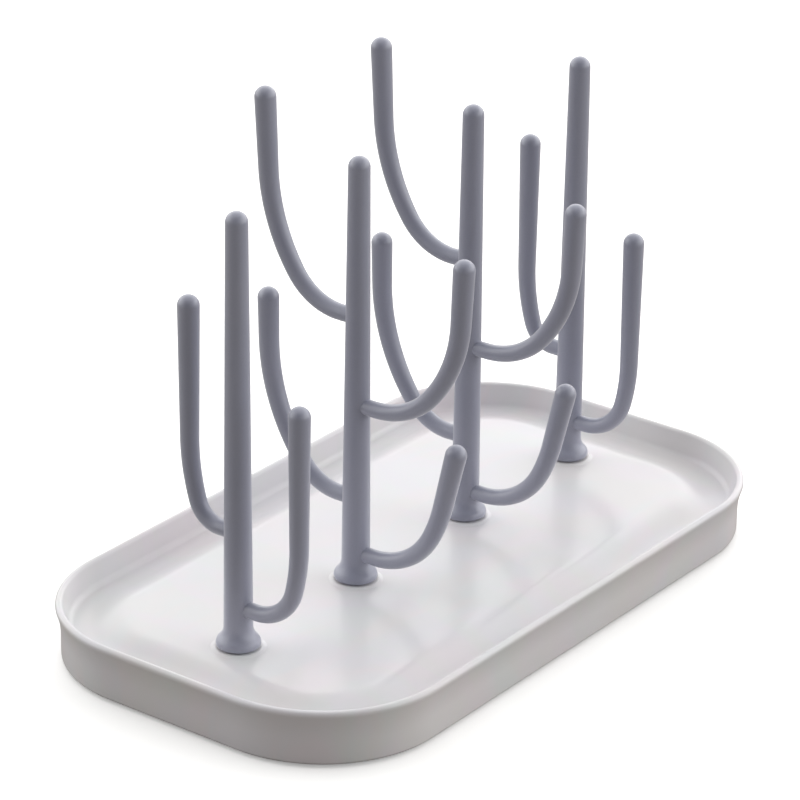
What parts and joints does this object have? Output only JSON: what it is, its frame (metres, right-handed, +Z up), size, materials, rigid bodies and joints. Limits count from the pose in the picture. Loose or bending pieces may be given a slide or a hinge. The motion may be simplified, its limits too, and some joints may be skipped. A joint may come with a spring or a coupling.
{
  "type": "bottle drying rack",
  "caption": "Free-standing bottle drying rack: a shallow rounded drip tray with a row of removable branching trees whose upswept pegs hold upturned bottles and cups.",
  "frame": {"origin": "middle of the plane the pads rest on, under the centre of the tray", "axes": "+X along the tray's long side, +Y towards the back long side, +Z up"},
  "size_m": [0.32, 0.18, 0.2249],
  "materials": {
    "tray_plastic": "near-white moulded plastic with a soft gloss",
    "tree_plastic": "cool grey moulded plastic, fine matte grain",
    "pad_rubber": "soft dark grey rubber"
  },
  "bodies": {
    "base": {"tray": "tray_plastic", "pad_front_left": "pad_rubber", "pad_front_right": "pad_rubber", "pad_back_left": "pad_rubber", "pad_back_right": "pad_rubber"},
    "tree_left_end_lift": {"tree_left_end": "tree_plastic"},
    "tree_left_middle_lift": {"tree_left_middle": "tree_plastic"},
    "tree_right_middle_lift": {"tree_right_middle": "tree_plastic"},
    "tree_right_end_lift": {"tree_right_end": "tree_plastic"}
  },
  "joints": [
    {"name": "tree_left_end_lift_out", "type": "slide", "parent": "base", "child": "tree_left_end_lift", "axis": [0, 0, 1], "range_m": [0, 0.23]},
    {"name": "tree_left_middle_lift_out", "type": "slide", "parent": "base", "child": "tree_left_middle_lift", "axis": [0, 0, 1], "range_m": [0, 0.23]},
    {"name": "tree_right_middle_lift_out", "type": "slide", "parent": "base", "child": "tree_right_middle_lift", "axis": [0, 0, 1], "range_m": [0, 0.23]},
    {"name": "tree_right_end_lift_out", "type": "slide", "parent": "base", "child": "tree_right_end_lift", "axis": [0, 0, 1], "range_m": [0, 0.23]}
  ]
}
